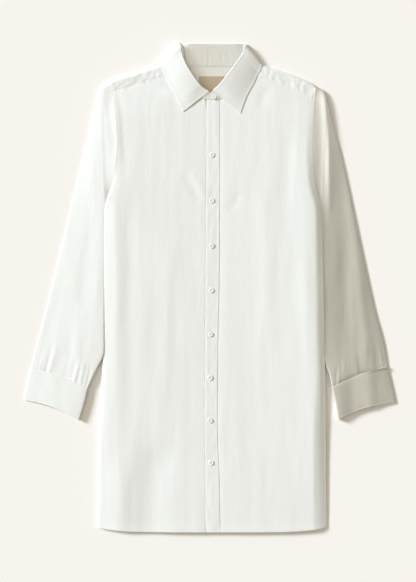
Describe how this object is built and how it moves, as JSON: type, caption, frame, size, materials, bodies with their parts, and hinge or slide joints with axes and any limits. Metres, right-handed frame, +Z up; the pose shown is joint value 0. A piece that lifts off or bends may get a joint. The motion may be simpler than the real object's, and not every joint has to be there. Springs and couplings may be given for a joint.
{
  "type": "shirt dress",
  "caption": "Long-sleeved shirt dress with a pointed collar, buttoned front and cuffs, laid flat and face up.",
  "frame": {"origin": "middle of the outline, on the surface that the dress lies on", "axes": "+X to the wearer's left, +Y along the dress from hem to collar, +Z up out of the front"},
  "size_m": [0.7268, 0.9538, 0.0223],
  "materials": {
    "shirting": "matt white cotton poplin, plain weave, soft natural creases",
    "label_tape": "plain woven tape, bare",
    "shirt_button": "pearly, softly polished"
  },
  "bodies": {
    "root": {"front_right": "shirting", "front_left": "shirting", "back_panel": "shirting", "back_yoke": "shirting", "placket": "shirting", "collar_stand": "shirting", "collar": "shirting", "sleeve_right": "shirting", "sleeve_left": "shirting", "cuff_right": "shirting", "cuff_left": "shirting", "neck_label": "label_tape", "button_stand": "shirt_button", "button_1": "shirt_button", "button_2": "shirt_button", "button_3": "shirt_button", "button_4": "shirt_button", "button_5": "shirt_button", "button_6": "shirt_button", "button_7": "shirt_button", "button_8": "shirt_button"}
  },
  "joints": []
}
